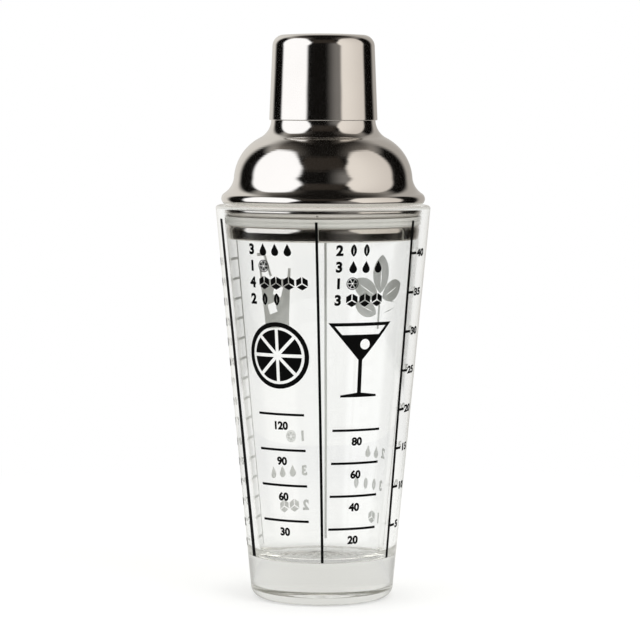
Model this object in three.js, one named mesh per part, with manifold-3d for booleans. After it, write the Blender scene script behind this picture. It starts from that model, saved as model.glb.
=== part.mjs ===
// Cocktail shaker: a tapered glass tumbler, a spun steel lid with its strainer and silicone gasket, and a cap.
// Units are millimetres, +Z is up, and the origin is the centre of the foot on the table.
import * as THREE from 'three';
import { mergeVertices } from 'three/addons/utils/BufferGeometryUtils.js';
import Module from 'manifold-3d';

// Glass tumbler
const GLASS_HEIGHT = 155.6;
const RIM_RADIUS = 42.5; // outside, where the taper meets the rim
const FOOT_RADIUS = 27.9; // outside, where the taper meets the table
const RIM_WALL = 3.0;
const RIM_FILLET = 1.1;
const FOOT_WALL = 4.2; // wall just above the floor
const FLOOR_THICKNESS = 16.6;
const FLOOR_FILLET = 5.5;
const HEEL_FILLET = 4.5;
const PUNT_RADIUS = 18.0; // shallow dome pressed up into the underside
const PUNT_DEPTH = 2.2;

// Steel lid, one spun sheet from the neck down to the rolled edge
const SHEET = 0.6;
const BEAD_INSET = 2.3; // how far the bead stays inside the glass rim's outside
const BEAD_RADIUS = 2.5;
const BEAD_LIFT = 2.65; // from the glass rim up to the middle of the bead
const DOME_STEP = 5.0; // from the bead's edge in to the wall of the dome
const DOME_TILT = 4.4; // degrees that the dome's wall leans in
const FLARE_RADIUS = 8.4; // hollow curve between the dome's wall and the bead
const SHOULDER_RADIUS = 19.0;
const NECK_FILLET = 8.0;
const NECK_RADIUS = 20.55; // outside, at the foot of the neck
const NECK_LENGTH = 20.5;
const NECK_DRAFT = 0.042; // the neck narrows by this much per millimetre of height

// Skirt of the lid, which hangs inside the mouth of the glass
const WAIST_RADIUS = 1.1; // hollow curve between the bead and the rib
const RIB_RADIUS = 2.6;
const RIB_PLAY = 0.6; // from the mouth of the glass in to the rib
const RIB_DROP = 1.35; // from the glass rim down to the middle of the rib
const SKIRT_PLAY = 2.1; // from the mouth of the glass in to the skirt below the rib
const BAND_REACH = 0.6; // how far the lower band stands out from the skirt
const BAND_HEIGHT = 4.9; // lower band, with its shoulder and without its rolled edge
const BAND_BEND = 2.8; // inside radius of the band's shoulder
const EDGE_BEND = 0.05; // inside radius of the edge rolled inwards
const EDGE_TURN = 130; // degrees that the edge turns past level

// Silicone gasket, which sits round the skirt between the rib and the lower band
const LIP_COUNT = 2;
const LIP_PITCH = 1.65;
const LIP_GAP = 0.4; // plain wall between two lips
const LIP_EDGE = 0.4; // blunt edge of a lip
const LIP_REACH = 0.4; // how far a lip stands out from the wall between the lips
const SEAT_GAP = 0.1; // gap between pieces that seat on each other
const SEAL_GAP = 0.12; // gap from the lips to the glass

// Strainer, a shallow punched cup pressed into the mouth of the neck
const STRAINER_DEPTH = 5.0;
const STRAINER_SHEET = 0.6;
const STRAINER_CORNER = 1.5;
const STRAINER_CROWN = 0.8; // rise of the plate at its middle
const HOLE_RADIUS = 1.7;
const HOLE_RINGS = 2; // rings of holes round the middle hole
const HOLES_PER_RING = 6; // added with each ring outwards
const HOLE_LAND = 1.6; // plain plate outside the last ring
const PUNCH_SPARE = 1.0; // how far the punch passes through the plate on both sides

// Cap
const CAP_HEIGHT = 33.65;
const CAP_CORNER = 4.6;
const CAP_CROWN = 0.5; // rise of the top at its middle
const NECK_SHOW = 0.45; // bare neck below the cap
const CAP_FIT = 0.2; // gap between the cap and the neck

// Facets
const SEGMENTS = 48; // round the axis
const ARC_STEP = 18; // degrees, on the large arcs of a profile
const SMALL_ARC_STEP = 36;
const TINY_ARC_STEP = 45;
const HOLE_SIDES = 8;
const SAME_POINT = 1e-3; // points nearer than this are one point

const wasm = await Module();
wasm.setup();

const DEGREE = Math.PI / 180;
const point = (r, z) => new THREE.Vector2(r, z);

// Points of an arc in a profile, from one angle to another in degrees: 0 points away from the axis, 90 up.
function arc(centre, radius, from, to, step = ARC_STEP) {
  const count = Math.max(2, Math.ceil(Math.abs(to - from) / step));
  return Array.from({ length: count + 1 }, (_, i) => {
    const angle = (from + ((to - from) * i) / count) * DEGREE;
    return point(centre.x + radius * Math.cos(angle), centre.y + radius * Math.sin(angle));
  });
}

// A shallow dome over a circle: points from its edge in to its top on the axis.
function crown(edge, rise) {
  const radius = (edge.x ** 2 + rise ** 2) / (2 * rise);
  const half = Math.asin(edge.x / radius) / DEGREE;
  const points = arc(point(0, edge.y + rise - radius), radius, 90 - half, 90, half / 3);
  points[points.length - 1].x = 0;
  return points;
}

// The line a given distance to the left of a line of points, mitred at each corner.
function offset(points, distance) {
  const normals = points.slice(1).map((p, i) => {
    const run = p.clone().sub(points[i]).normalize();
    return point(-run.y, run.x);
  });
  return points.map((p, i) => {
    const before = normals[Math.max(0, i - 1)];
    const after = normals[Math.min(normals.length - 1, i)];
    const mitre = before.clone().add(after).normalize();
    return p.clone().addScaledVector(mitre, distance / mitre.dot(after));
  });
}

// The direction from one point to another, in degrees.
const bearing = (from, to) => Math.atan2(to.y - from.y, to.x - from.x) / DEGREE;

// The point at given distances from an upper and a lower point, on the side away from the axis.
function beyond(upper, upperDistance, lower, lowerDistance) {
  const run = lower.clone().sub(upper);
  const length = run.length();
  const along = (upperDistance ** 2 - lowerDistance ** 2 + length ** 2) / (2 * length);
  const aside = Math.sqrt(upperDistance ** 2 - along ** 2);
  run.divideScalar(length);
  return upper.clone().addScaledVector(run, along).addScaledVector(point(-run.y, run.x), aside);
}

// Joins runs of points into one line, without the points that two runs share.
function chain(...runs) {
  const points = runs.flat();
  return points.filter((p, i) => i === 0 || p.distanceTo(points[i - 1]) > SAME_POINT);
}

// Revolves an outline about the Z axis. The outline runs anticlockwise, with the axis on its left.
function revolve(outline) {
  return new THREE.LatheGeometry(outline, SEGMENTS).rotateX(Math.PI / 2);
}

function toSolid(geometry) {
  const bare = geometry.clone();
  bare.deleteAttribute('normal');
  bare.deleteAttribute('uv');
  const merged = mergeVertices(bare, SAME_POINT);
  return new wasm.Manifold(
    new wasm.Mesh({
      numProp: 3,
      vertProperties: merged.attributes.position.array,
      triVerts: new Uint32Array(merged.index.array),
    }),
  );
}

function toGeometry(solid) {
  const mesh = solid.getMesh();
  const geometry = new THREE.BufferGeometry();
  geometry.setAttribute('position', new THREE.BufferAttribute(mesh.vertProperties, 3));
  geometry.setIndex(new THREE.BufferAttribute(mesh.triVerts, 1));
  geometry.computeVertexNormals();
  return geometry;
}

// The walls of the glass, which the gasket and the skirt take their sizes from
const outerSlope = (RIM_RADIUS - FOOT_RADIUS) / GLASS_HEIGHT;
const outerRadius = (z) => FOOT_RADIUS + outerSlope * z;
const mouthRadius = RIM_RADIUS - RIM_WALL;
const floorRadius = outerRadius(FLOOR_THICKNESS) - FOOT_WALL;
const innerSlope = (mouthRadius - floorRadius) / (GLASS_HEIGHT - FLOOR_THICKNESS);
const innerRadius = (z) => mouthRadius - innerSlope * (GLASS_HEIGHT - z);

function glassTumbler() {
  const outerTilt = Math.atan(outerSlope) / DEGREE;
  const innerTilt = Math.atan(innerSlope) / DEGREE;
  const outerCos = Math.cos(outerTilt * DEGREE);
  const innerCos = Math.cos(innerTilt * DEGREE);
  const heel = point(outerRadius(HEEL_FILLET) - HEEL_FILLET / outerCos, HEEL_FILLET);
  const rimZ = GLASS_HEIGHT - RIM_FILLET;
  const rimOutside = point(outerRadius(rimZ) - RIM_FILLET / outerCos, rimZ);
  const rimInside = point(innerRadius(rimZ) + RIM_FILLET / innerCos, rimZ);
  const floorZ = FLOOR_THICKNESS + FLOOR_FILLET;
  const corner = point(innerRadius(floorZ) - FLOOR_FILLET / innerCos, floorZ);
  return revolve(
    chain(
      crown(point(PUNT_RADIUS, 0), PUNT_DEPTH).reverse(),
      arc(heel, HEEL_FILLET, -90, -outerTilt, SMALL_ARC_STEP),
      arc(rimOutside, RIM_FILLET, -outerTilt, 90, SMALL_ARC_STEP),
      arc(rimInside, RIM_FILLET, 90, 180 - innerTilt, SMALL_ARC_STEP),
      arc(corner, FLOOR_FILLET, -innerTilt, -90, SMALL_ARC_STEP),
      point(0, FLOOR_THICKNESS),
    ),
  );
}

// Places on the lid, in its own frame: the plane of the glass rim is at height 0.
const beadReach = RIM_RADIUS - BEAD_INSET;
const bead = point(beadReach - BEAD_RADIUS, BEAD_LIFT);
const domeOut = point(Math.cos(DOME_TILT * DEGREE), Math.sin(DOME_TILT * DEGREE));
const flareReach = FLARE_RADIUS + BEAD_RADIUS;
const flareRun = beadReach - DOME_STEP + FLARE_RADIUS * domeOut.x - bead.x;
const flare = point(bead.x + flareRun, bead.y + Math.sqrt(flareReach ** 2 - flareRun ** 2));
const shoulder = flare.clone().addScaledVector(domeOut, -(FLARE_RADIUS + SHOULDER_RADIUS));
const neckTilt = Math.atan(NECK_DRAFT) / DEGREE;
const neckFilletRun = NECK_RADIUS + NECK_FILLET * Math.cos(neckTilt * DEGREE) - shoulder.x;
const neckFilletRise = Math.sqrt((SHOULDER_RADIUS + NECK_FILLET) ** 2 - neckFilletRun ** 2);
const neckFillet = point(shoulder.x + neckFilletRun, shoulder.y + neckFilletRise);
const neckFoot = neckFillet.y - NECK_FILLET * Math.sin(neckTilt * DEGREE);
const neckTop = neckFoot + NECK_LENGTH;
const neckRadius = (z) => NECK_RADIUS - NECK_DRAFT * (z - neckFoot);
const skirtRadius = mouthRadius - SKIRT_PLAY;
const rib = point(mouthRadius - RIB_PLAY - RIB_RADIUS, -RIB_DROP);
const ribEnd = Math.acos((skirtRadius - rib.x) / RIB_RADIUS);
const ribFoot = rib.y - RIB_RADIUS * Math.sin(ribEnd);
const gasketHeight = LIP_COUNT * LIP_PITCH;
const bandTop = ribFoot - gasketHeight - 2 * SEAT_GAP;
const bandFoot = bandTop - BAND_HEIGHT;

// The outer face of the lid's sheet, from the mouth of the neck down to the rolled edge.
function lidFace() {
  const shoulderTop = bearing(shoulder, neckFillet);
  const flareEnd = bearing(flare, bead);
  const bandTilt = Math.atan(innerSlope) / DEGREE;
  const bandRadius = skirtRadius + BAND_REACH;
  const bandBend = SHEET + BAND_BEND;
  const bandStart = Math.acos(Math.max(0, 1 - BAND_REACH / bandBend)) / DEGREE;
  const bandCorner = point(bandRadius - bandBend, bandTop - bandBend * Math.sin(bandStart * DEGREE));
  const edgeBend = SHEET + EDGE_BEND;
  const edge = point(bandRadius - innerSlope * (bandCorner.y - bandFoot) - edgeBend, bandFoot);
  const waist = beyond(bead, BEAD_RADIUS + WAIST_RADIUS, rib, RIB_RADIUS + WAIST_RADIUS);
  const waistTop = bearing(bead, waist);
  const waistFoot = bearing(rib, waist);
  return chain(
    point(neckRadius(neckTop), neckTop),
    arc(neckFillet, NECK_FILLET, 180 + neckTilt, 180 + shoulderTop),
    arc(shoulder, SHOULDER_RADIUS, shoulderTop, DOME_TILT),
    arc(flare, FLARE_RADIUS, 180 + DOME_TILT, 360 + flareEnd),
    arc(bead, BEAD_RADIUS, 180 + flareEnd, waistTop, SMALL_ARC_STEP),
    arc(waist, WAIST_RADIUS, 180 + waistTop, 180 + waistFoot, SMALL_ARC_STEP),
    arc(rib, RIB_RADIUS, waistFoot, -ribEnd / DEGREE, SMALL_ARC_STEP),
    point(skirtRadius, bandTop),
    arc(bandCorner, bandBend, bandStart, -bandTilt, TINY_ARC_STEP),
    arc(edge, edgeBend, -bandTilt, -EDGE_TURN, TINY_ARC_STEP),
  );
}

function lidShell() {
  const face = lidFace().reverse();
  return revolve([...face, ...offset(face, SHEET).reverse(), face[0]]);
}

// The gasket's lips reach out to the wall of the glass, which narrows downwards.
function lidGasket() {
  const top = ribFoot - SEAT_GAP;
  const foot = top - gasketHeight;
  const inside = skirtRadius + SEAT_GAP;
  const lipRadius = (z) => innerRadius(GLASS_HEIGHT + z) - SEAL_GAP;
  const wall = (z) => point(lipRadius(z) - LIP_REACH, z);
  const tip = (z) => point(lipRadius(z), z);
  const lips = Array.from({ length: LIP_COUNT }, (_, i) => {
    const start = foot + LIP_PITCH * i + LIP_GAP / 2;
    const end = start + LIP_PITCH - LIP_GAP;
    const middle = (start + end) / 2;
    return [wall(start), tip(middle - LIP_EDGE / 2), tip(middle + LIP_EDGE / 2), wall(end)];
  });
  return revolve([
    point(inside, foot),
    wall(foot),
    ...lips.flat(),
    wall(top),
    point(inside, top),
    point(inside, foot),
  ]);
}

// The strainer's lip lies on the neck's edge, its wall goes down inside the neck, and its plate is punched.
function strainerCup() {
  const lipRadius = neckRadius(neckTop);
  const wallRadius = lipRadius - SHEET - SEAT_GAP;
  const lipFoot = neckTop + SEAT_GAP;
  const plate = lipFoot - STRAINER_DEPTH;
  const plateRadius = wallRadius - STRAINER_CORNER;
  const corner = point(plateRadius, plate + STRAINER_CORNER);
  const under = chain(
    crown(point(plateRadius, plate), STRAINER_CROWN).reverse(),
    arc(corner, STRAINER_CORNER, -90, 0, SMALL_ARC_STEP),
    point(wallRadius, lipFoot),
    point(lipRadius, lipFoot),
  );
  const over = offset(under, STRAINER_SHEET).reverse();
  over[over.length - 1].x = 0;
  let cup = toSolid(revolve([...under, ...over]));
  const ringPitch = (plateRadius - HOLE_LAND - HOLE_RADIUS) / HOLE_RINGS;
  const punchLength = STRAINER_CROWN + STRAINER_SHEET + 2 * PUNCH_SPARE;
  const punch = new THREE.CylinderGeometry(HOLE_RADIUS, HOLE_RADIUS, punchLength, HOLE_SIDES);
  punch.rotateX(Math.PI / 2).translate(0, 0, plate + punchLength / 2 - PUNCH_SPARE);
  for (let ring = 0; ring <= HOLE_RINGS; ring += 1) {
    const count = Math.max(1, ring * HOLES_PER_RING);
    for (let i = 0; i < count; i += 1) {
      const angle = (2 * Math.PI * i) / count;
      const hole = punch.clone().translate(ring * ringPitch, 0, 0).rotateZ(angle);
      cup = cup.subtract(toSolid(hole));
    }
  }
  return toGeometry(cup);
}

// The cap follows the neck's draft. Its own frame starts at its lower edge.
function capShell() {
  const inside = neckRadius(neckFoot + NECK_SHOW) + CAP_FIT;
  const outside = inside + SHEET;
  const cornerZ = CAP_HEIGHT - CAP_CROWN - CAP_CORNER;
  const corner = point(outside - NECK_DRAFT * cornerZ - CAP_CORNER, cornerZ);
  const face = chain(
    point(outside, 0),
    arc(corner, CAP_CORNER, neckTilt, 90),
    crown(point(corner.x, CAP_HEIGHT - CAP_CROWN), CAP_CROWN),
  );
  const inner = offset(face, SHEET).reverse();
  inner[0].x = 0;
  return revolve([...face, ...inner, face[0]]);
}

const glass = new THREE.MeshStandardMaterial({
  color: 0xf2f5f2,
  roughness: 0.03,
  metalness: 0,
  transparent: true,
  opacity: 0.35,
});
const steel = new THREE.MeshStandardMaterial({ color: 0xc9c4bd, roughness: 0.12, metalness: 1 });
const silicone = new THREE.MeshStandardMaterial({ color: 0xc6c6c0, roughness: 0.5, metalness: 0 });

function piece(name, geometry, material) {
  const mesh = new THREE.Mesh(geometry, material);
  mesh.name = name;
  return mesh;
}

// The lid stands on the plane of the glass rim, and the cap on its own edge round the neck.
const lid = new THREE.Group();
lid.position.z = GLASS_HEIGHT;
lid.add(piece('lid_dome', lidShell(), steel));
lid.add(piece('strainer_cup', strainerCup(), steel));
lid.add(piece('lid_gasket', lidGasket(), silicone));
const capSeat = new THREE.Group();
capSeat.position.z = neckFoot + NECK_SHOW;
capSeat.add(piece('cap', capShell(), steel));
lid.add(capSeat);

const shaker = new THREE.Group();
shaker.add(piece('glass_tumbler', glassTumbler(), glass));
shaker.add(lid);

export default shaker;
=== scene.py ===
# Looks of a glass cocktail shaker: a printed measuring glass, a spun steel lid with its strainer and
# gasket, and a cap. Outlines are (radius, height) pairs and prints (across, height) pairs, in millimetres.
# Meshes, lamps and the camera are in metres.
import math

import bmesh
import bpy
from mathutils import Matrix, Vector


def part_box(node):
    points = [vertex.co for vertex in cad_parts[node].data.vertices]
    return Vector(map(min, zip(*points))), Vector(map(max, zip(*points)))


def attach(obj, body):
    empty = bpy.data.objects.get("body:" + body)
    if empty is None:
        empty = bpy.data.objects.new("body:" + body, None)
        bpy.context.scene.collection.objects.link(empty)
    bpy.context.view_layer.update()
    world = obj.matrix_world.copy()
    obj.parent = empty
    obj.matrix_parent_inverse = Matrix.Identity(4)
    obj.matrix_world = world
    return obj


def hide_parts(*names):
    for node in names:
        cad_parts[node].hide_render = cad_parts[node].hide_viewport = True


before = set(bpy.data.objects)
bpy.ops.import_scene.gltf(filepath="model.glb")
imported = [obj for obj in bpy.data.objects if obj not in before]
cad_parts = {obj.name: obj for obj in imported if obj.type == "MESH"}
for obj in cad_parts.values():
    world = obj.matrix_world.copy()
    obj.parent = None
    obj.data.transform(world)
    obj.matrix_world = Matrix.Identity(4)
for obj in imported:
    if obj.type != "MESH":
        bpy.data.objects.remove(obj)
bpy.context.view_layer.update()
MM = 0.001

# Glass tumbler
GLASS_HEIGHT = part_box("glass_tumbler")[1].z / MM
RIM_RADIUS = 42.5  # outside, where the taper meets the rim
FOOT_RADIUS = 27.9  # outside, where the taper meets the table
RIM_WALL = 3.0
RIM_FILLET = 1.1
FOOT_WALL = 4.2  # wall just above the floor
FLOOR_THICKNESS = 16.6
FLOOR_FILLET = 5.5
HEEL_FILLET = 4.5
PUNT_RADIUS = 18.0
PUNT_DEPTH = 2.2
RING_PITCH = 3.4  # mould rings on the floor and underneath
RING_STEPS = 64
FLOOR_RELIEF = 0.04
FOOT_RELIEF = 0.12
FLOOR_BLEND = 2.0  # below the floor, over which the base begins to hold back light

# Spun steel lid
SHEET = 0.6
BEAD_INSET = 2.3
BEAD_RADIUS = 2.5
BEAD_LIFT = 2.65
DOME_STEP = 5.0
DOME_TILT = 4.4
FLARE_RADIUS = 8.4
SHOULDER_RADIUS = 19.0
NECK_FILLET = 8.0
NECK_RADIUS = 20.55
NECK_LENGTH = 20.5
NECK_DRAFT = 0.042

# Skirt of the lid and its gasket
WAIST_RADIUS = 1.1
RIB_RADIUS = 2.6
RIB_PLAY = 0.6
RIB_DROP = 1.35
SKIRT_PLAY = 2.1
BAND_REACH = 0.6
BAND_HEIGHT = 4.9
BAND_BEND = 2.8
EDGE_BEND = 0.05
EDGE_TURN = 130
LIP_COUNT = 2
LIP_PITCH = 1.65
LIP_GAP = 0.4
LIP_EDGE = 0.4
LIP_REACH = 0.4
SEAT_GAP = 0.1
SEAL_GAP = 0.12

# Strainer and cap
STRAINER_DEPTH = 5.0
STRAINER_CORNER = 1.5
STRAINER_CROWN = 0.8
HOLE_RADIUS = 1.7
HOLE_RINGS = 2
HOLES_PER_RING = 6
HOLE_LAND = 1.6
HOLE_SIDES = 40
CAP_CORNER = 4.6
CAP_CROWN = 0.5
NECK_SHOW = 0.45
CAP_FIT = 0.2

# Print on the glass
INK_GAP = 0.02  # keeps the ink clear of the glass's facets
INK_THICKNESS = 0.05
INK_STEP = 1.0  # longest chord of ink round the glass
CUT_SNAP = 1e-5  # points this near to a cut lie on it
PRINT_LOW = 17.6
PRINT_HIGH = 150.8
RULES = {
    # degrees from the front at the top and at the foot of the print, and width
    "left_back": (-113.5, -111.3, 1.05),
    "left": (-71.0, -64.3, 2.9),
    "front": (-3.6, 0.2, 1.05),
    "right": (56.0, 58.9, 1.6),
    "right_back": (104.5, 101.0, 1.05),
    "back": (178.6, 176.7, 1.05),
}
PANELS = {
    # degrees from the front to the panel's middle line
    "front_left": -28,
    "front_right": 23,
    "back_right": 140,
    "back_left": 212,
}
TICK_WIDTH = 1.0
TICK_LENGTH = 3.7
LONG_TICK = 12.5
TICK_LAP = 0.02  # by which a tick overlaps its rule
NUMBER_GAP = 0.7
NUMBER_SIZE = 3.9
NUMBER_STRETCH = 1.8
NUMBER_WEIGHT = 0.05  # thickening of a digit's strokes, over its size
NUMBER_STEPS = 4  # a finer outline breaks when it is thickened
CENTILITRE_COUNT = 8
CENTILITRE_STEP = 5
CENTILITRE_LOW = 30.4
CENTILITRE_PITCH = 15.37
OUNCE_COUNT = 15
OUNCE_LOW = 22.3
OUNCE_PITCH = 7.93
ROWS = {
    # height of a panel's first row, and pitch
    "front_left": (140, 6.4),
    "front_right": (140, 6.4),
    "back_right": (54.5, 13),
    "back_left": (60, 14),
}
ROW_NUMBER = 5.4
ROW_NUMBER_PLACE = -10.0  # from the panel's middle line
ROW_SIGN = 4.8
SIGN_PLACE = -4.5
SIGN_PITCH = 5.3
LADDERS = {
    # height of a panel's first measuring line, pitch, and numbers
    "front_left": (76, 14, (120, 90, 60, 30)),
    "front_right": (70, 13, (80, 60, 40, 20)),
}
LADDER_WIDTH = 20.0
LADDER_LINE = 0.95
LADDER_NUMBER = 4.2
LADDER_DROP = 4.4  # from a line to the middle of its number
FRUIT_RADIUS = 13
FRUIT_FOOT = 86
STEM_GLASS_HEIGHT = 29
STEM_GLASS_FOOT = 83
BACK_SIGN_HEIGHT = 30
BACK_SIGN_FOOT = 104

# Fineness of the meshes
SIDES = 256
ARC_STEP = 4  # degrees
HOLD = 0.12  # from each end of a long straight stretch to its extra point
LONG_STRETCH = 8 * HOLD
SHARP_ANGLE = math.radians(40)
SAME_POINT = 1e-4
ON_AXIS = 1e-6

# Finishes: waves, ripples and grain are depths of bumps
STEEL_WAVES = 0.06
TURNING_SHARE = 0.008  # weight of the turning marks beside the waves
TURNING_STREAK = 0.004  # smaller makes the turning marks longer
GLASS_RIPPLE = 0.04
GLASS_INDEX = 1.5
LAST_REFLECTION = 4.0  # the renderer's limit of glossy bounces
SILICONE_GRAIN = 0.05
INK_GRAIN = 0.02
OFF_AXIS = 1e-8  # keeps a distance from the axis above 0

# Studio
UNLIT = (0.003, 0.0025, 0.002, 1)
WHITE = (1.0, 1.0, 1.0, 1)
TABLE_RADIUS = 0.45
TABLE_SIDES = 128
TABLE_GAP = 0.05  # millimetres that keep the table's face apart from the glass's foot
TABLE_GLOW = 0.38  # least share of even light in what is seen of the table
LAMP_AIM = (0, 0, 0.08)
CAMERA_DISTANCE = 1.160
CAMERA_HEIGHT = 0.2046
CAMERA_AIM = (-0.00108, 0.0, 0.1101)
CAMERA_LENS = 165.2
CAMERA_SENSOR = 36.0
CAMERA_ROLL = 0.18  # degrees


class Wire:
    """One output in a shader tree. Arithmetic on it adds Math nodes, and node() adds any other node."""

    def __init__(self, tree, socket=None):
        self.tree = tree
        self.socket = socket

    def node(self, kind, settings, sockets, output=0):
        made = self.tree.nodes.new(kind)
        for name, setting in settings.items():
            setattr(made, name, setting)
        for name, value in sockets.items():
            if isinstance(value, Wire):
                self.tree.links.new(value.socket, made.inputs[name])
            else:
                made.inputs[name].default_value = value
        return Wire(self.tree, made.outputs[output] if made.outputs else None)

    def math(self, operation, *values):
        return self.node("ShaderNodeMath", {"operation": operation}, dict(enumerate(values)))

    def __add__(self, other):
        return self.math("ADD", self, other)

    def __radd__(self, other):
        return self.math("ADD", other, self)

    def __sub__(self, other):
        return self.math("SUBTRACT", self, other)

    def __rsub__(self, other):
        return self.math("SUBTRACT", other, self)

    def __mul__(self, other):
        return self.math("MULTIPLY", self, other)

    def __rmul__(self, other):
        return self.math("MULTIPLY", other, self)

    def __truediv__(self, other):
        return self.math("DIVIDE", self, other)

    def __pow__(self, other):
        return self.math("POWER", self, other)

    def rise(self, low, high):
        """0 below low, 1 above high and a smooth step between them."""
        return self.node(
            "ShaderNodeMapRange",
            {"interpolation_type": "SMOOTHSTEP"},
            {"Value": self, "From Min": low, "From Max": high},
        )

    def within(self, low, high, blur):
        """1 between low and high, with edges that blur over a width."""
        half = blur / 2
        return self.rise(low - half, low + half) * (1 - self.rise(high - half, high + half))

    def tint(self, low_colour, high_colour):
        """A colour from low_colour, where this is 0, to high_colour, where it is 1."""
        colours = {0: self, 6: low_colour, 7: high_colour}
        return self.node("ShaderNodeMix", {"data_type": "RGBA"}, colours, 2)

    def axes(self):
        """The three parts of a vector."""
        first = self.node("ShaderNodeSeparateXYZ", {}, {0: self})
        return [Wire(self.tree, output) for output in first.socket.node.outputs]

    def grain(self, scale, detail=2.0):
        """Noise over this vector, from 0 to 1."""
        return self.node("ShaderNodeTexNoise", {}, {"Vector": self, "Scale": scale, "Detail": detail})


def blank_tree(owner):
    owner.use_nodes = True
    owner.node_tree.nodes.clear()
    return Wire(owner.node_tree)


def finish_of(name, surface):
    """A material whose function takes its empty tree and gives the shaders of its output."""
    material = bpy.data.materials.new(name)
    tree = blank_tree(material)
    tree.node("ShaderNodeOutputMaterial", {}, surface(tree))
    return material


def own_place(tree):
    """Where a point lies in its piece's own frame, in metres."""
    return tree.node("ShaderNodeTexCoord", {}, {}, "Object")


def bumps(height, strength, depth):
    """A normal for a height of 0 to 1, which stands for a depth in millimetres."""
    sockets = {"Height": height, "Strength": strength, "Distance": depth * MM}
    return height.node("ShaderNodeBump", {}, sockets)


def polished_steel(tree):
    place = own_place(tree)
    x, y, z = place.axes()
    radius = (x * x + y * y + OFF_AXIS) ** 0.5
    across = x / radius * TURNING_STREAK
    along = y / radius * TURNING_STREAK
    turning = tree.node("ShaderNodeCombineXYZ", {}, {0: across, 1: along, 2: z + radius}).grain(2600, 3.0)
    smears = place.grain(70, 4.0)
    waves = place.grain(75, 1.0)
    metal = tree.node(
        "ShaderNodeBsdfPrincipled",
        {},
        {
            "Base Color": smears.tint((0.71, 0.68, 0.645, 1), (0.77, 0.74, 0.705, 1)),
            "Metallic": 1.0,
            "Roughness": 0.05 + 0.05 * smears + 0.03 * turning,
            "Normal": bumps(turning * TURNING_SHARE + waves, 1.0, STEEL_WAVES),
        },
    )
    return {"Surface": metal}


def clear_glass(tree):
    place = own_place(tree)
    height = place.axes()[2]
    ripple = place.grain(45, 1.0)
    wiped = place.grain(160, 5.0).rise(0.55, 0.8)
    # Light that is still inside the wall at its last reflection would be lost; there the glass is given a
    # pale grey glow, a painted glow that stands in for that light
    reflections = tree.node("ShaderNodeLightPath", {}, {}, "Glossy Depth")
    painted_glow_mask = reflections.math("COMPARE", reflections, LAST_REFLECTION, 0.5)
    clear = tree.node(
        "ShaderNodeBsdfPrincipled",
        {},
        {
            "Base Color": ripple.tint((0.975, 0.98, 0.975, 1), (0.99, 0.993, 0.99, 1)),
            "Roughness": 0.02 * wiped,
            "IOR": GLASS_INDEX,
            "Transmission Weight": 1.0,
            "Emission Color": painted_glow_mask.tint((0.0, 0.0, 0.0, 1), (0.86, 0.86, 0.83, 1)),
            "Emission Strength": 1.0,
            "Normal": bumps(ripple, 1.0, GLASS_RIPPLE),
        },
    )
    tinge = tree.node("ShaderNodeVolumeAbsorption", {}, {"Color": (0.10, 0.09, 0.0, 1), "Density": 7.2})
    # Light that falls on the pieces and the print behind the wall goes straight through it
    shadow, scattered = (ray_kind(tree, kind) for kind in ("Shadow", "Diffuse"))
    above_floor = height.rise((FLOOR_THICKNESS - FLOOR_BLEND) * MM, FLOOR_THICKNESS * MM)
    passing = shadow.math("MAXIMUM", shadow, scattered) * above_floor
    straight = tree.node("ShaderNodeBsdfTransparent", {}, {"Color": (0.95, 0.955, 0.95, 1)})
    wall = tree.node("ShaderNodeMixShader", {}, {0: passing, 1: clear, 2: straight})
    return {"Surface": wall, "Volume": tinge}


def frosted_silicone(tree):
    haze = own_place(tree).grain(420, 4.0)
    rubber = tree.node(
        "ShaderNodeBsdfPrincipled",
        {},
        {
            "Base Color": haze.tint((0.60, 0.585, 0.555, 1), (0.66, 0.645, 0.615, 1)),
            "Roughness": 0.38 + 0.2 * haze,
            "Normal": bumps(haze, 0.2, SILICONE_GRAIN),
        },
    )
    return {"Surface": rubber}


def ink_finish(thin, dense):
    """Screen-printed ink: a slightly uneven coat between two greys."""

    def surface(tree):
        coat = own_place(tree).grain(1500, 3.0)
        ink = tree.node(
            "ShaderNodeBsdfPrincipled",
            {},
            {
                "Base Color": coat.tint((*dense, 1), (*thin, 1)),
                "Roughness": 0.5 + 0.15 * coat,
                "Specular IOR Level": 0.03,
                "Normal": bumps(coat, 0.15, INK_GRAIN),
            },
        )
        return {"Surface": ink}

    return surface


def pale_table(tree):
    """A white table that shows its shadow near the object and is an even white further away."""
    place = own_place(tree)
    x, y, _ = place.axes()
    far = ((x * x + y * y) ** 0.5).rise(0.12, 0.40)
    speckle = place.grain(900, 3.0)
    paint = speckle.tint((0.86, 0.86, 0.855, 1), (0.89, 0.89, 0.885, 1))
    lit = tree.node("ShaderNodeBsdfPrincipled", {}, {"Base Color": paint, "Roughness": 0.7})
    glow = far.tint((1.15, 1.15, 1.14, 1), WHITE)
    # Seen mirrored in the steel, the table is painted a darker beige: painted shade in its reflection.
    glow = in_steel(tree).tint(glow, (0.55, 0.54, 0.51, 1))
    even = tree.node("ShaderNodeEmission", {}, {"Color": glow, "Strength": 1.0})
    share = seen_directly(tree) * (TABLE_GLOW + (1 - TABLE_GLOW) * far)
    return {"Surface": tree.node("ShaderNodeMixShader", {}, {0: share, 1: lit, 2: even})}


def ray_kind(tree, kind):
    return tree.node("ShaderNodeLightPath", {}, {}, f"Is {kind} Ray")


def bounced(tree, kind):
    """1 for light that met a surface of a kind on its way from the camera, and otherwise 0."""
    depth = tree.node("ShaderNodeLightPath", {}, {}, f"{kind} Depth")
    return depth.math("MINIMUM", depth, 1.0)


def in_steel(tree):
    """1 for light that the camera sees mirrored in steel, and otherwise 0."""
    return bounced(tree, "Glossy") * (1 - in_glass(tree))


def in_glass(tree):
    """1 for light that came through one wall of glass or along it, and otherwise 0."""
    faces = tree.node("ShaderNodeLightPath", {}, {}, "Transmission Depth")
    return faces.math("COMPARE", faces, 2.0, 1.5)


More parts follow.
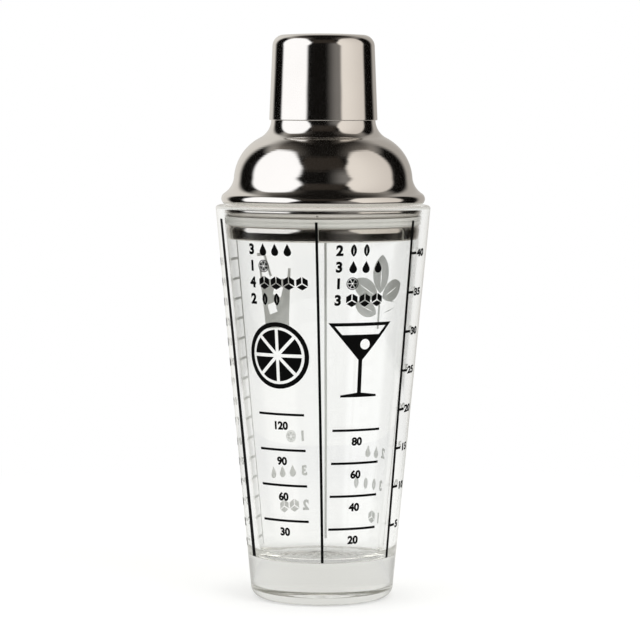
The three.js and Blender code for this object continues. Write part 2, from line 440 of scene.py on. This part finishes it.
def seen_directly(tree):
    """1 for what the camera sees itself, in a reflection or through glass, and 0 for scattered light."""
    camera, glossy, clear = (ray_kind(tree, kind) for kind in ("Camera", "Glossy", "Transmission"))
    return camera.math("MAXIMUM", camera, camera.math("MAXIMUM", glossy, clear))


STEEL = finish_of("polished_steel", polished_steel)
GLASS = finish_of("clear_glass", clear_glass)
SILICONE = finish_of("frosted_silicone", frosted_silicone)
INK = finish_of("black_ink", ink_finish((0.004, 0.004, 0.004), (0.001, 0.001, 0.001)))
# The underside's pale grey is painted light: it stands in for light that the glass reflects over the print
# seen from inside.
INK_BACK_PAINTED_LIGHT = finish_of("ink_underside_painted_light", ink_finish((0.68, 0.68, 0.67), (0.61, 0.61, 0.60)))
TABLE = finish_of("pale_table", pale_table)


def arc(centre, radius, start, end, step=ARC_STEP):
    """Points of an arc, from one angle to another in degrees: 0 points right, 90 up."""
    count = max(2, math.ceil(abs(end - start) / step))
    angles = [math.radians(start + (end - start) * i / count) for i in range(count + 1)]
    return [(centre[0] + radius * math.cos(a), centre[1] + radius * math.sin(a)) for a in angles]


def crown(radius, height, rise):
    """A shallow dome over a circle, from its edge in to its top on the axis."""
    curve = (radius**2 + rise**2) / (2 * rise)
    half = math.degrees(math.asin(radius / curve))
    points = arc((0, height + rise - curve), curve, 90 - half, 90, half / 12)
    return points[:-1] + [(0, height + rise)]


def ringed(edge, height, relief, rise=0):
    """A round face, flat or domed, from its edge in to the axis, with mould rings that fade at its edge."""
    curve = (edge**2 + rise**2) / (2 * rise) if rise else 0
    points = []
    for i in range(RING_STEPS + 1):
        radius = edge * (1 - i / RING_STEPS)
        dome = rise - curve + math.sqrt(curve**2 - radius**2) if rise else 0
        fade = min(1, (edge - radius) / RING_PITCH)
        wave = relief * fade * math.sin(2 * math.pi * radius / RING_PITCH)
        points.append((radius, height + dome + wave))
    return points


def chain(*runs):
    """Joins runs of points into one line, without the points that two runs share."""
    points = [Vector(p) for run in runs for p in run]
    return [p for i, p in enumerate(points) if i == 0 or (p - points[i - 1]).length > SAME_POINT]


def bearing(start, end):
    """The direction from one point to another, in degrees."""
    return math.degrees(math.atan2(end[1] - start[1], end[0] - start[0]))


def beyond(upper, upper_distance, lower, lower_distance):
    """The point at given distances from an upper and a lower point, on the side away from the axis."""
    run = Vector(lower) - Vector(upper)
    along = (upper_distance**2 - lower_distance**2 + run.length**2) / (2 * run.length)
    aside = math.sqrt(upper_distance**2 - along**2)
    run.normalize()
    return Vector(upper) + along * run + aside * Vector((-run.y, run.x))


def beside(points, distance):
    """The line a given distance to the left of a line of points, mitred at each corner."""
    runs = [(b - a).normalized() for a, b in zip(points, points[1:])]
    left = [Vector((-run.y, run.x)) for run in runs]
    made = []
    for i, p in enumerate(points):
        before = left[max(0, i - 1)]
        after = left[min(len(left) - 1, i)]
        mitre = (before + after).normalized()
        made.append(p + mitre * (distance / mitre.dot(after)))
    return made


def rounded(start, end, turn):
    """A half circle from one point to another, turning by 180 or -180 degrees."""
    centre = (start + end) / 2
    spoke = start - centre
    angle = math.degrees(math.atan2(spoke.y, spoke.x))
    return arc(centre, spoke.length, angle, angle + turn, 30)


def sheet(face, thickness, to_axis=False):
    """The outline of a sheet from one of its faces, with its cut edges rounded. It may end on the axis."""
    back = beside(face, thickness)
    turn = math.copysign(180, thickness)
    first_edge = rounded(back[0], face[0], turn)[1:-1]
    if to_axis:
        back[-1].x = 0
        return chain(face, back[::-1], first_edge)
    return chain(face, rounded(face[-1], back[-1], turn), back[::-1], first_edge)


def shaped(name, mesh, *materials):
    """An object made of a mesh, smooth but for its sharp edges."""
    data = bpy.data.meshes.new(name)
    mesh.to_mesh(data)
    mesh.free()
    data.shade_smooth()
    data.set_sharp_from_angle(angle=SHARP_ANGLE)
    for material in materials:
        data.materials.append(material)
    made = bpy.data.objects.new(name, data)
    bpy.context.scene.collection.objects.link(made)
    return made


def held(outline):
    """Adds a point near each end of a long straight stretch, to keep its shading flat beside a curve."""
    made = []
    for start, end in zip(outline, outline[1:] + outline[:1]):
        made.append(start)
        run = end - start
        if run.length > LONG_STRETCH:
            made += [start + run.normalized() * HOLD, end - run.normalized() * HOLD]
    return made


def turned(name, outline, material):
    """Revolves a closed outline, which may start and end on the axis, about +Z."""
    mesh = bmesh.new()
    turns = [2 * math.pi * i / SIDES for i in range(SIDES)]
    rings = []
    for radius, height in held([Vector(p) for p in outline]):
        if radius < ON_AXIS:
            rings.append([mesh.verts.new((0, 0, height * MM))] * SIDES)
            continue
        spots = [(radius * math.sin(a) * MM, -radius * math.cos(a) * MM, height * MM) for a in turns]
        rings.append([mesh.verts.new(spot) for spot in spots])
    for ring, other in zip(rings, rings[1:] + rings[:1]):
        for i in range(SIDES):
            corners = dict.fromkeys([ring[i - 1], ring[i], other[i], other[i - 1]])
            if len(corners) > 2:
                mesh.faces.new(corners)
    bmesh.ops.recalc_face_normals(mesh, faces=mesh.faces)
    return shaped(name, mesh, material)


def dress(piece, body, slot, *nodes):
    """Sets the body that carries a piece and hides the CAD nodes that it stands for. Its slot is not used.
    """
    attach(piece, body)
    if nodes:
        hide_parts(*nodes)


# Glass tumbler: its walls are cones
outer_slope = (RIM_RADIUS - FOOT_RADIUS) / GLASS_HEIGHT
mouth_radius = RIM_RADIUS - RIM_WALL
floor_radius = FOOT_RADIUS + outer_slope * FLOOR_THICKNESS - FOOT_WALL
inner_slope = (mouth_radius - floor_radius) / (GLASS_HEIGHT - FLOOR_THICKNESS)


def outer_radius(height):
    return FOOT_RADIUS + outer_slope * height


def inner_radius(height):
    return mouth_radius - inner_slope * (GLASS_HEIGHT - height)


def tumbler():
    outer_tilt = math.degrees(math.atan(outer_slope))
    inner_tilt = math.degrees(math.atan(inner_slope))
    outer_cos = math.cos(math.radians(outer_tilt))
    inner_cos = math.cos(math.radians(inner_tilt))
    heel = (outer_radius(HEEL_FILLET) - HEEL_FILLET / outer_cos, HEEL_FILLET)
    rim_height = GLASS_HEIGHT - RIM_FILLET
    rim_outside = (outer_radius(rim_height) - RIM_FILLET / outer_cos, rim_height)
    rim_inside = (inner_radius(rim_height) + RIM_FILLET / inner_cos, rim_height)
    corner_height = FLOOR_THICKNESS + FLOOR_FILLET
    corner = (inner_radius(corner_height) - FLOOR_FILLET / inner_cos, corner_height)
    outline = chain(
        ringed(PUNT_RADIUS, 0, FOOT_RELIEF, PUNT_DEPTH)[::-1],
        arc(heel, HEEL_FILLET, -90, -outer_tilt),
        arc(rim_outside, RIM_FILLET, -outer_tilt, 90),
        arc(rim_inside, RIM_FILLET, 90, 180 - inner_tilt),
        arc(corner, FLOOR_FILLET, -inner_tilt, -90),
        ringed(corner[0], FLOOR_THICKNESS, FLOOR_RELIEF),
    )
    return turned("glass_wall", outline, GLASS)


# Places on the lid: heights are above the table
bead_reach = RIM_RADIUS - BEAD_INSET
bead = (bead_reach - BEAD_RADIUS, GLASS_HEIGHT + BEAD_LIFT)
dome_cos = math.cos(math.radians(DOME_TILT))
dome_sin = math.sin(math.radians(DOME_TILT))
flare_run = bead_reach - DOME_STEP + FLARE_RADIUS * dome_cos - bead[0]
flare = (bead[0] + flare_run, bead[1] + math.sqrt((FLARE_RADIUS + BEAD_RADIUS) ** 2 - flare_run**2))
dome_reach = FLARE_RADIUS + SHOULDER_RADIUS
shoulder = (flare[0] - dome_reach * dome_cos, flare[1] - dome_reach * dome_sin)
neck_tilt = math.degrees(math.atan(NECK_DRAFT))
fillet_run = NECK_RADIUS + NECK_FILLET * math.cos(math.radians(neck_tilt)) - shoulder[0]
fillet_rise = math.sqrt((SHOULDER_RADIUS + NECK_FILLET) ** 2 - fillet_run**2)
neck_fillet = (shoulder[0] + fillet_run, shoulder[1] + fillet_rise)
neck_foot = neck_fillet[1] - NECK_FILLET * math.sin(math.radians(neck_tilt))
neck_top = neck_foot + NECK_LENGTH
skirt_radius = mouth_radius - SKIRT_PLAY
rib = (mouth_radius - RIB_PLAY - RIB_RADIUS, GLASS_HEIGHT - RIB_DROP)
rib_end = math.degrees(math.acos((skirt_radius - rib[0]) / RIB_RADIUS))
rib_foot = rib[1] - RIB_RADIUS * math.sin(math.radians(rib_end))
gasket_height = LIP_COUNT * LIP_PITCH
band_top = rib_foot - gasket_height - 2 * SEAT_GAP
band_foot = band_top - BAND_HEIGHT


def neck_radius(height):
    return NECK_RADIUS - NECK_DRAFT * (height - neck_foot)


def lid_shell():
    shoulder_top = bearing(shoulder, neck_fillet)
    flare_end = bearing(flare, bead)
    waist = beyond(bead, BEAD_RADIUS + WAIST_RADIUS, rib, RIB_RADIUS + WAIST_RADIUS)
    waist_top = bearing(bead, waist)
    waist_foot = bearing(rib, waist)
    band_tilt = math.degrees(math.atan(inner_slope))
    band_radius = skirt_radius + BAND_REACH
    band_bend = SHEET + BAND_BEND
    band_start = math.degrees(math.acos(max(0, 1 - BAND_REACH / band_bend)))
    band_corner = (band_radius - band_bend, band_top - band_bend * math.sin(math.radians(band_start)))
    edge_bend = SHEET + EDGE_BEND
    edge = (band_radius - inner_slope * (band_corner[1] - band_foot) - edge_bend, band_foot)
    face = chain(
        [(neck_radius(neck_top), neck_top)],
        arc(neck_fillet, NECK_FILLET, 180 + neck_tilt, 180 + shoulder_top, 3),
        arc(shoulder, SHOULDER_RADIUS, shoulder_top, DOME_TILT, 3),
        arc(flare, FLARE_RADIUS, 180 + DOME_TILT, 360 + flare_end),
        arc(bead, BEAD_RADIUS, 180 + flare_end, waist_top),
        arc(waist, WAIST_RADIUS, 180 + waist_top, 180 + waist_foot),
        arc(rib, RIB_RADIUS, waist_foot, -rib_end),
        [(skirt_radius, band_top)],
        arc(band_corner, band_bend, band_start, -band_tilt),
        arc(edge, edge_bend, -band_tilt, -EDGE_TURN, 15),
    )
    return turned("lid_shell", sheet(face, -SHEET), STEEL)


def gasket_ring():
    top = rib_foot - SEAT_GAP
    foot = top - gasket_height
    inside = skirt_radius + SEAT_GAP

    def lip(height):
        return (inner_radius(height) - SEAL_GAP, height)

    def wall(height):
        return (inner_radius(height) - SEAL_GAP - LIP_REACH, height)

    outline = [(inside, foot), wall(foot)]
    for i in range(LIP_COUNT):
        start = foot + LIP_PITCH * i + LIP_GAP / 2
        end = start + LIP_PITCH - LIP_GAP
        middle = (start + end) / 2
        outline += [wall(start), lip(middle - LIP_EDGE / 2), lip(middle + LIP_EDGE / 2), wall(end)]
    return turned("gasket_ring", outline + [wall(top), (inside, top)], SILICONE)


def strainer():
    lip_radius = neck_radius(neck_top)
    wall_radius = lip_radius - SHEET - SEAT_GAP
    lip_foot = neck_top + SEAT_GAP
    plate = lip_foot - STRAINER_DEPTH
    plate_radius = wall_radius - STRAINER_CORNER
    face = chain(
        [(lip_radius, lip_foot), (wall_radius, lip_foot)],
        arc((plate_radius, plate + STRAINER_CORNER), STRAINER_CORNER, 0, -90),
        crown(plate_radius, plate, STRAINER_CROWN),
    )
    cup = turned("strainer", sheet(face, -SHEET, to_axis=True), STEEL)
    ring_pitch = (plate_radius - HOLE_LAND - HOLE_RADIUS) / HOLE_RINGS
    punches = bmesh.new()
    for ring in range(HOLE_RINGS + 1):
        count = max(1, ring * HOLES_PER_RING)
        for i in range(count):
            turn = Matrix.Rotation(2 * math.pi * i / count, 4, "Z")
            spot = turn @ Vector((ring * ring_pitch, 0, plate))
            bmesh.ops.create_cone(
                punches,
                cap_ends=True,
                segments=HOLE_SIDES,
                radius1=HOLE_RADIUS * MM,
                radius2=HOLE_RADIUS * MM,
                depth=2 * STRAINER_DEPTH * MM,
                matrix=Matrix.Translation(spot * MM),
            )
    tool = shaped("strainer_punches", punches, STEEL)
    cut = cup.modifiers.new("punched", "BOOLEAN")
    cut.object = tool
    cut.solver = "EXACT"
    punched = bpy.data.meshes.new_from_object(cup.evaluated_get(bpy.context.evaluated_depsgraph_get()))
    cup.modifiers.clear()
    cup.data = punched
    punched.set_sharp_from_angle(angle=SHARP_ANGLE)
    bpy.data.objects.remove(tool)
    return cup


def cap_shell():
    low, high = (corner.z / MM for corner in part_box("cap"))
    outside = neck_radius(neck_foot + NECK_SHOW) + CAP_FIT + SHEET
    rise = high - low - CAP_CROWN - CAP_CORNER
    corner = (outside - NECK_DRAFT * rise - CAP_CORNER, low + rise)
    face = chain(
        [(outside, low)],
        arc(corner, CAP_CORNER, neck_tilt, 90),
        crown(corner[0], high - CAP_CROWN, CAP_CROWN),
    )
    return turned("cap_shell", sheet(face, SHEET, to_axis=True), STEEL)


# Shapes of the print, each a list of closed lines, filled between them
def bar(left, low, right, high):
    return [(left, low), (right, low), (right, high), (left, high)]


def moved(loops, across=0, up=0, turn=0, size=1):
    cos = size * math.cos(math.radians(turn))
    sin = size * math.sin(math.radians(turn))
    return [[(across + x * cos - y * sin, up + x * sin + y * cos) for x, y in loop] for loop in loops]


def disc(radius, across=0, up=0):
    return arc((across, up), radius, 0, 360, 10)[:-1]


def stroke(points, width):
    """A line of a given width through a few points."""
    line = [Vector(p) for p in points]
    return [[tuple(p) for p in beside(line, width / 2) + beside(line, -width / 2)[::-1]]]


def citrus_wheel(radius, segments=8):
    rind = 0.14 * radius
    membrane = 0.1 * radius
    half = 180 / segments
    flesh = radius - 1.6 * rind
    margin = math.degrees(math.asin(membrane / 2 / flesh))
    heart = membrane / 2 / math.sin(math.radians(half))
    loops = [disc(radius), disc(radius - rind)]
    for i in range(segments):
        middle = (2 * i + 1) * half
        tip = arc((0, 0), heart, middle, middle)[:1]
        loops.append(tip + arc((0, 0), flesh, middle - half + margin, middle + half - margin, 8))
    return loops


def leaf(length, width, vein=0.5):
    """A pointed leaf that grows up from the origin, with a bare vein."""
    bend = (length**2 / 4 + width**2 / 4) / width
    half = math.degrees(math.asin(length / 2 / bend))
    right = arc((width / 2 - bend, length / 2), bend, -half, half)
    left = arc((bend - width / 2, length / 2), bend, 180 - half, 180 + half)
    slit = [(0, 0.12 * length), (vein / 2, 0.4 * length), (0, 0.82 * length), (-vein / 2, 0.4 * length)]
    return [right[:-1] + left[:-1], slit]


def mint_sprig(size):
    sprig = leaf(0.52 * size, 0.3 * size)
    loops = moved(sprig, 0, 0.48 * size)
    for side in (-1, 1):
        loops += moved(sprig, 0.05 * side * size, 0.42 * size, -62 * side, 0.9)
        loops += moved(sprig, 0.05 * side * size, 0.2 * size, -70 * side, 0.75)
    return loops + stroke([(0, 0), (0, 0.44 * size)], 0.035 * size)


def drop(size):
    round_part = 0.32 * size
    lean = math.degrees(math.asin(round_part / (size - round_part)))
    belly = arc((0, round_part), round_part, 180 - lean, 360 + lean, 10)
    return [belly + [(0, size)]]


def ice_cube(size):
    gap = 0.05 * size
    loops = []
    for turn in (30, 150, 270):
        out = math.radians(turn)
        shift = (gap * math.cos(out), gap * math.sin(out))
        ends = [math.radians(turn + a) for a in (-60, 0, 60)]
        corners = [(0, 0)] + [(size / 2 * math.cos(a), size / 2 * math.sin(a)) for a in ends]
        loops.append([(x + shift[0], y + shift[1]) for x, y in corners])
    return loops


def stem_glass(height):
    half = 0.46 * height
    bowl = 0.5 * height
    stem = 0.028 * height
    foot = 0.26 * height
    line = 0.045 * height
    level = 0.84 * height
    slope = half / (height - bowl)
    silhouette = [(-half, height), (-stem, bowl), (-stem, 0.06 * height)]
    silhouette += [(-foot, 0.03 * height), (-foot, 0)]
    silhouette += [(-x, y) for x, y in silhouette[::-1]]
    brim = height - line
    low_half = slope * (level - bowl) - line
    high_half = slope * (height - bowl) - 2 * line
    hollow = [(-low_half, level), (low_half, level), (high_half, brim), (-high_half, brim)]
    garnish = disc(0.07 * height, 0.06 * height, 0.71 * height)
    return [silhouette, hollow, garnish]


def tall_glass(height):
    half = 0.27 * height
    foot = 0.2 * height
    rim = 0.8 * height
    line = 0.04 * height
    level = 0.66 * height
    body = [(-half, rim), (-foot, 0), (foot, 0), (half, rim)]
    wall = half - line
    surface = wall - 0.02 * height
    empty = [(-wall, rim), (-surface, level), (surface, level), (wall, rim)]
    loops = [body + empty[::-1]]
    ice = 0.07 * height
    cube = bar(-ice, -ice, ice, ice)
    loops += moved([cube], -0.05 * height, 0.5 * height, 20)
    loops += moved([cube], 0.06 * height, 0.27 * height, -15)
    straw = [(0.06 * height, level + line), (0.16 * height, height), (0.3 * height, height)]
    return loops + stroke(straw, line)


# Printing: flat shapes are filled, cut into narrow strips and wrapped round the glass
def flat_mesh(curve):
    """The mesh of a flat curve, filled and as thick as the ink. The curve is used up."""
    curve.extrude = INK_THICKNESS / 2
    curve.fill_mode = "BOTH"
    holder = bpy.data.objects.new(curve.name, curve)
    mesh = bpy.data.meshes.new_from_object(holder)
    bpy.data.objects.remove(holder)
    bpy.data.curves.remove(curve)
    return mesh


def inked(loops, across, up):
    """Flat ink between closed lines, at a place on its panel."""
    curve = bpy.data.curves.new("ink_outline", "CURVE")
    curve.dimensions = "2D"
    for loop in loops:
        line = curve.splines.new("POLY")
        line.points.add(len(loop) - 1)
        line.use_cyclic_u = True
        for spot, (x, y) in zip(line.points, loop):
            spot.co = (x, y, 0, 1)
    mesh = flat_mesh(curve)
    mesh.transform(Matrix.Translation((across, up, 0)))
    return mesh


def numbered(text, size, across, up, align="CENTER", stretch=1):
    """A flat number in ink, with its middle at a height on its panel."""
    curve = bpy.data.curves.new("ink_numbers", "FONT")
    curve.body = text
    curve.size = size
    curve.offset = NUMBER_WEIGHT * size
    curve.resolution_u = NUMBER_STEPS
    curve.align_x = align
    mesh = flat_mesh(curve)
    heights = [v.co.y for v in mesh.vertices]
    mesh.transform(Matrix.Diagonal((stretch, 1, 1, 1)))
    mesh.transform(Matrix.Translation((across, up - (min(heights) + max(heights)) / 2, 0)))
    return mesh


def on_glass(top, foot, across, height, rise):
    """Where a spot of flat print lands. Its middle line runs from one azimuth, at the top, to another."""
    share = (height - PRINT_LOW) / (PRINT_HIGH - PRINT_LOW)
    turn = math.radians(foot + (top - foot) * share) + across / outer_radius(height)
    radius = outer_radius(height) + INK_GAP + INK_THICKNESS / 2 + rise
    return Vector((radius * math.sin(turn), -radius * math.cos(turn), height)) * MM


def cut_strips(mesh):
    """Cuts flat ink into upright strips, narrow enough to bend round the glass."""
    low = min(v.co.x for v in mesh.verts)
    high = max(v.co.x for v in mesh.verts)
    for i in range(1, math.ceil((high - low) / INK_STEP)):
        everything = mesh.verts[:] + mesh.edges[:] + mesh.faces[:]
        place = (low + i * INK_STEP, 0, 0)
        bmesh.ops.bisect_plane(mesh, geom=everything, dist=CUT_SNAP, plane_co=place, plane_no=(1, 0, 0))


def printed(name, top, foot, shapes):
    """Joins flat shapes into one print on the glass. The back of the ink, towards the glass, is painted a
    paler grey: painted light for the glass's reflections over print seen through it.
    """
    mesh = bmesh.new()
    for shape in shapes:
        mesh.from_mesh(shape)
        bpy.data.meshes.remove(shape)
    bmesh.ops.remove_doubles(mesh, verts=mesh.verts, dist=SAME_POINT)
    cut_strips(mesh)
    mesh.normal_update()
    for face in mesh.faces:
        # Faces towards the glass take the pale underside, which is painted light.
        face.material_index = int(face.normal.z < -0.5)
    for vert in mesh.verts:
        vert.co = on_glass(top, foot, *vert.co)
    dress(shaped(name, mesh, INK, INK_BACK_PAINTED_LIGHT), "glass", "clear_glass")


def upright_rule(width):
    height = PRINT_HIGH - PRINT_LOW
    steps = math.ceil(height)
    right = [(width / 2, PRINT_LOW + height * i / steps) for i in range(steps + 1)]
    left = [(-x, y) for x, y in right[::-1]]
    return inked([right + left], 0, 0)


def scale_marks(start, length, marks):
    """Ticks of a length to the right of a rule, with their numbers: marks are (height, number) pairs."""
    shapes = []
    for height, number in marks:
        tick = bar(start - TICK_LAP, -TICK_WIDTH / 2, start + length, TICK_WIDTH / 2)
        shapes.append(inked([tick], 0, height))
        edge = start + length + NUMBER_GAP
        shapes.append(numbered(str(number), NUMBER_SIZE, edge, height, "LEFT", NUMBER_STRETCH))
    return shapes


def counted_rows(top, pitch, rows):
    """Rows of a number and as many small signs."""
    shapes = []
    for i, (count, sign) in enumerate(rows):
        height = top - i * pitch
        shapes.append(numbered(str(count), ROW_NUMBER, ROW_NUMBER_PLACE, height))
        for k in range(count):
            shapes.append(inked(sign, SIGN_PLACE + k * SIGN_PITCH, height - ROW_SIGN / 2))
    return shapes


def ladder(top, pitch, numbers):
    """Measuring lines one below another, each with its number."""
    shapes = []
    line = bar(-LADDER_WIDTH / 2, -LADDER_LINE / 2, LADDER_WIDTH / 2, LADDER_LINE / 2)
    for i, number in enumerate(numbers):
        shapes.append(inked([line], 0, top - i * pitch))
        shapes.append(numbered(str(number), LADDER_NUMBER, 0, top - i * pitch - LADDER_DROP))
    return shapes


def print_glass():
    steps = range(CENTILITRE_COUNT)
    centilitres = [(CENTILITRE_LOW + CENTILITRE_PITCH * i, CENTILITRE_STEP * (i + 1)) for i in steps]
    ounces = [(OUNCE_LOW + OUNCE_PITCH * i, i + 1) for i in range(OUNCE_COUNT)]
    scales = {"right": (TICK_LENGTH, centilitres), "left_back": (LONG_TICK, ounces)}
    for side, (top, foot, width) in RULES.items():
        length, marks = scales.get(side, (0, []))
        printed(f"rule_{side}", top, foot, [upright_rule(width)] + scale_marks(width / 2, length, marks))
    wheel = moved(citrus_wheel(ROW_SIGN / 2, 6), 0, ROW_SIGN / 2)
    cube = moved(ice_cube(ROW_SIGN), 0, ROW_SIGN / 2)
    drip = drop(ROW_SIGN)
    mint = leaf(ROW_SIGN, 0.5 * ROW_SIGN, 0.3)
    signs = {
        "front_left": (moved(citrus_wheel(FRUIT_RADIUS), 0, FRUIT_RADIUS), FRUIT_FOOT),
        "front_right": (stem_glass(STEM_GLASS_HEIGHT), STEM_GLASS_FOOT),
        "back_right": (mint_sprig(BACK_SIGN_HEIGHT), BACK_SIGN_FOOT),
        "back_left": (tall_glass(BACK_SIGN_HEIGHT), BACK_SIGN_FOOT),
    }
    rows = {
        "front_left": [(3, drip), (1, wheel), (4, cube), (2, mint)],
        "front_right": [(2, mint), (3, drip), (1, wheel), (3, cube)],
        "back_right": [(2, drip), (3, mint), (1, cube)],
        "back_left": [(1, wheel), (3, drip), (2, cube)],
    }
    for side, middle in PANELS.items():
        sign, foot = signs[side]
        shapes = [inked(sign, 0, foot)] + counted_rows(*ROWS[side], rows[side])
        if side in LADDERS:
            shapes += ladder(*LADDERS[side])
        printed(f"panel_{side}", middle, middle, shapes)


# Studio: a white table and backdrop, a softbox on each side and a dark room in front
def studio_world():
    world = bpy.data.worlds.new("studio")
    bpy.context.scene.world = world
    tree = blank_tree(world)
    x, y, z = tree.node("ShaderNodeTexCoord", {}, {}, "Generated").axes()
    azimuth = x.math("ARCTAN2", x, 0 - y) * (180 / math.pi)
    elevation = z.math("ARCSINE", z) * (180 / math.pi)
    mirrored = bounced(tree, "Glossy")
    dim = x.rise(-0.4, 0.4).tint((0.80, 0.78, 0.74, 1), (0.48, 0.455, 0.425, 1))
    backdrop = in_steel(tree).tint((1.06, 1.06, 1.05, 1), dim)
    aside = x.math("ABSOLUTE", x).rise(0.15, 0.8)
    ceiling = aside.tint((0.007, 0.006, 0.005, 1), (0.34, 0.31, 0.28, 1))
    overhead = in_steel(tree).tint((0.85, 0.85, 0.83, 1), ceiling)
    room = elevation.rise(36, 58).tint(backdrop, overhead)
    through = in_glass(tree)
    flagged = through.math("MAXIMUM", through, mirrored)
    # The outer sides of the softboxes lean out, their inner sides are rounded and their tops curve down
    lean = 0.26 * elevation
    bulge = 9 * (1 - elevation.rise(-6, 22)) + 11 * elevation.rise(32, 52)
    off_middle = azimuth.math("ABSOLUTE", azimuth) - 80
    slope = 0.01 * off_middle * off_middle
    left_box = (1.34, 1.36, 1.40, 1)
    right_box = azimuth.rise(40, 105).tint((1.0, 0.95, 0.89, 1), (0.80, 0.75, 0.70, 1))
    right_glow = azimuth.rise(2, 32).tint(UNLIT, (0.22, 0.21, 0.20, 1))
    cards = [
        # left, right, low and high edge in degrees, blur of the edges, share of the rays, colour
        (-112, 112, -95, 45, 50, through * (1 - mirrored), (0.35, 0.345, 0.335, 1)),
        (-136 - 0.5 * lean, 136 + 0.5 * lean, -95, 45, 16, mirrored, UNLIT),
        (-97, 97, -95, 62, 20, flagged, UNLIT),
        (-36, 33, 28, 62, 14, flagged, (0.032, 0.026, 0.021, 1)),
        (-101 - lean, -30 - bulge, -9, 64.5 - slope, 8, 1, left_box),
        (2, 49, -14, 26, 24, flagged, right_glow),
        (33 + bulge, 99 + lean, -9, 64.5 - slope, 8, 1, right_box),
    ]
    for left, right, low, high, blur, share, colour in cards:
        card = azimuth.within(left, right, blur) * elevation.within(low, high, blur) * share
        room = card.tint(room, colour)
    light = bounced(tree, "Diffuse").tint(room, (1.0, 1.0, 0.985, 1))
    light = ray_kind(tree, "Camera").tint(light, WHITE)
    background = tree.node("ShaderNodeBackground", {}, {"Color": light, "Strength": 1.0})
    tree.node("ShaderNodeOutputWorld", {}, {"Surface": background})


def lamp(name, place, size, power):
    light = bpy.data.lights.new(name, "AREA")
    light.size = size
    light.energy = power
    made = bpy.data.objects.new(name, light)
    made.location = place
    made.rotation_euler = (Vector(LAMP_AIM) - Vector(place)).to_track_quat("-Z", "Y").to_euler()
    made.visible_glossy = False
    made.visible_transmission = False
    bpy.context.scene.collection.objects.link(made)


def table():
    mesh = bmesh.new()
    bmesh.ops.create_circle(mesh, cap_ends=True, segments=TABLE_SIDES, radius=TABLE_RADIUS)
    top = shaped("table", mesh, TABLE)
    top.location.z = -TABLE_GAP * MM


def photo_camera():
    camera = bpy.data.objects.new("camera", bpy.data.cameras.new("camera"))
    camera.data.lens = CAMERA_LENS
    camera.data.sensor_width = CAMERA_SENSOR
    camera.location = (CAMERA_AIM[0], -CAMERA_DISTANCE, CAMERA_HEIGHT)
    look = (Vector(CAMERA_AIM) - camera.location).to_track_quat("-Z", "Y").to_matrix()
    camera.rotation_euler = (look @ Matrix.Rotation(math.radians(CAMERA_ROLL), 3, "Z")).to_euler()
    bpy.context.scene.collection.objects.link(camera)
    bpy.context.scene.camera = camera


photo_camera()
bpy.context.scene.view_settings.view_transform = "Standard"
studio_world()
lamp("key", (0.75, -0.75, 1.0), size=0.7, power=6.0)
lamp("fill", (-0.9, -0.3, 0.9), size=0.9, power=2.0)
table()
dress(tumbler(), "glass", "clear_glass", "glass_tumbler")
dress(lid_shell(), "lid", "polished_steel", "lid_dome")
dress(strainer(), "lid", "polished_steel", "strainer_cup")
dress(gasket_ring(), "lid", "silicone", "lid_gasket")
dress(cap_shell(), "cap", "polished_steel", "cap")
print_glass()
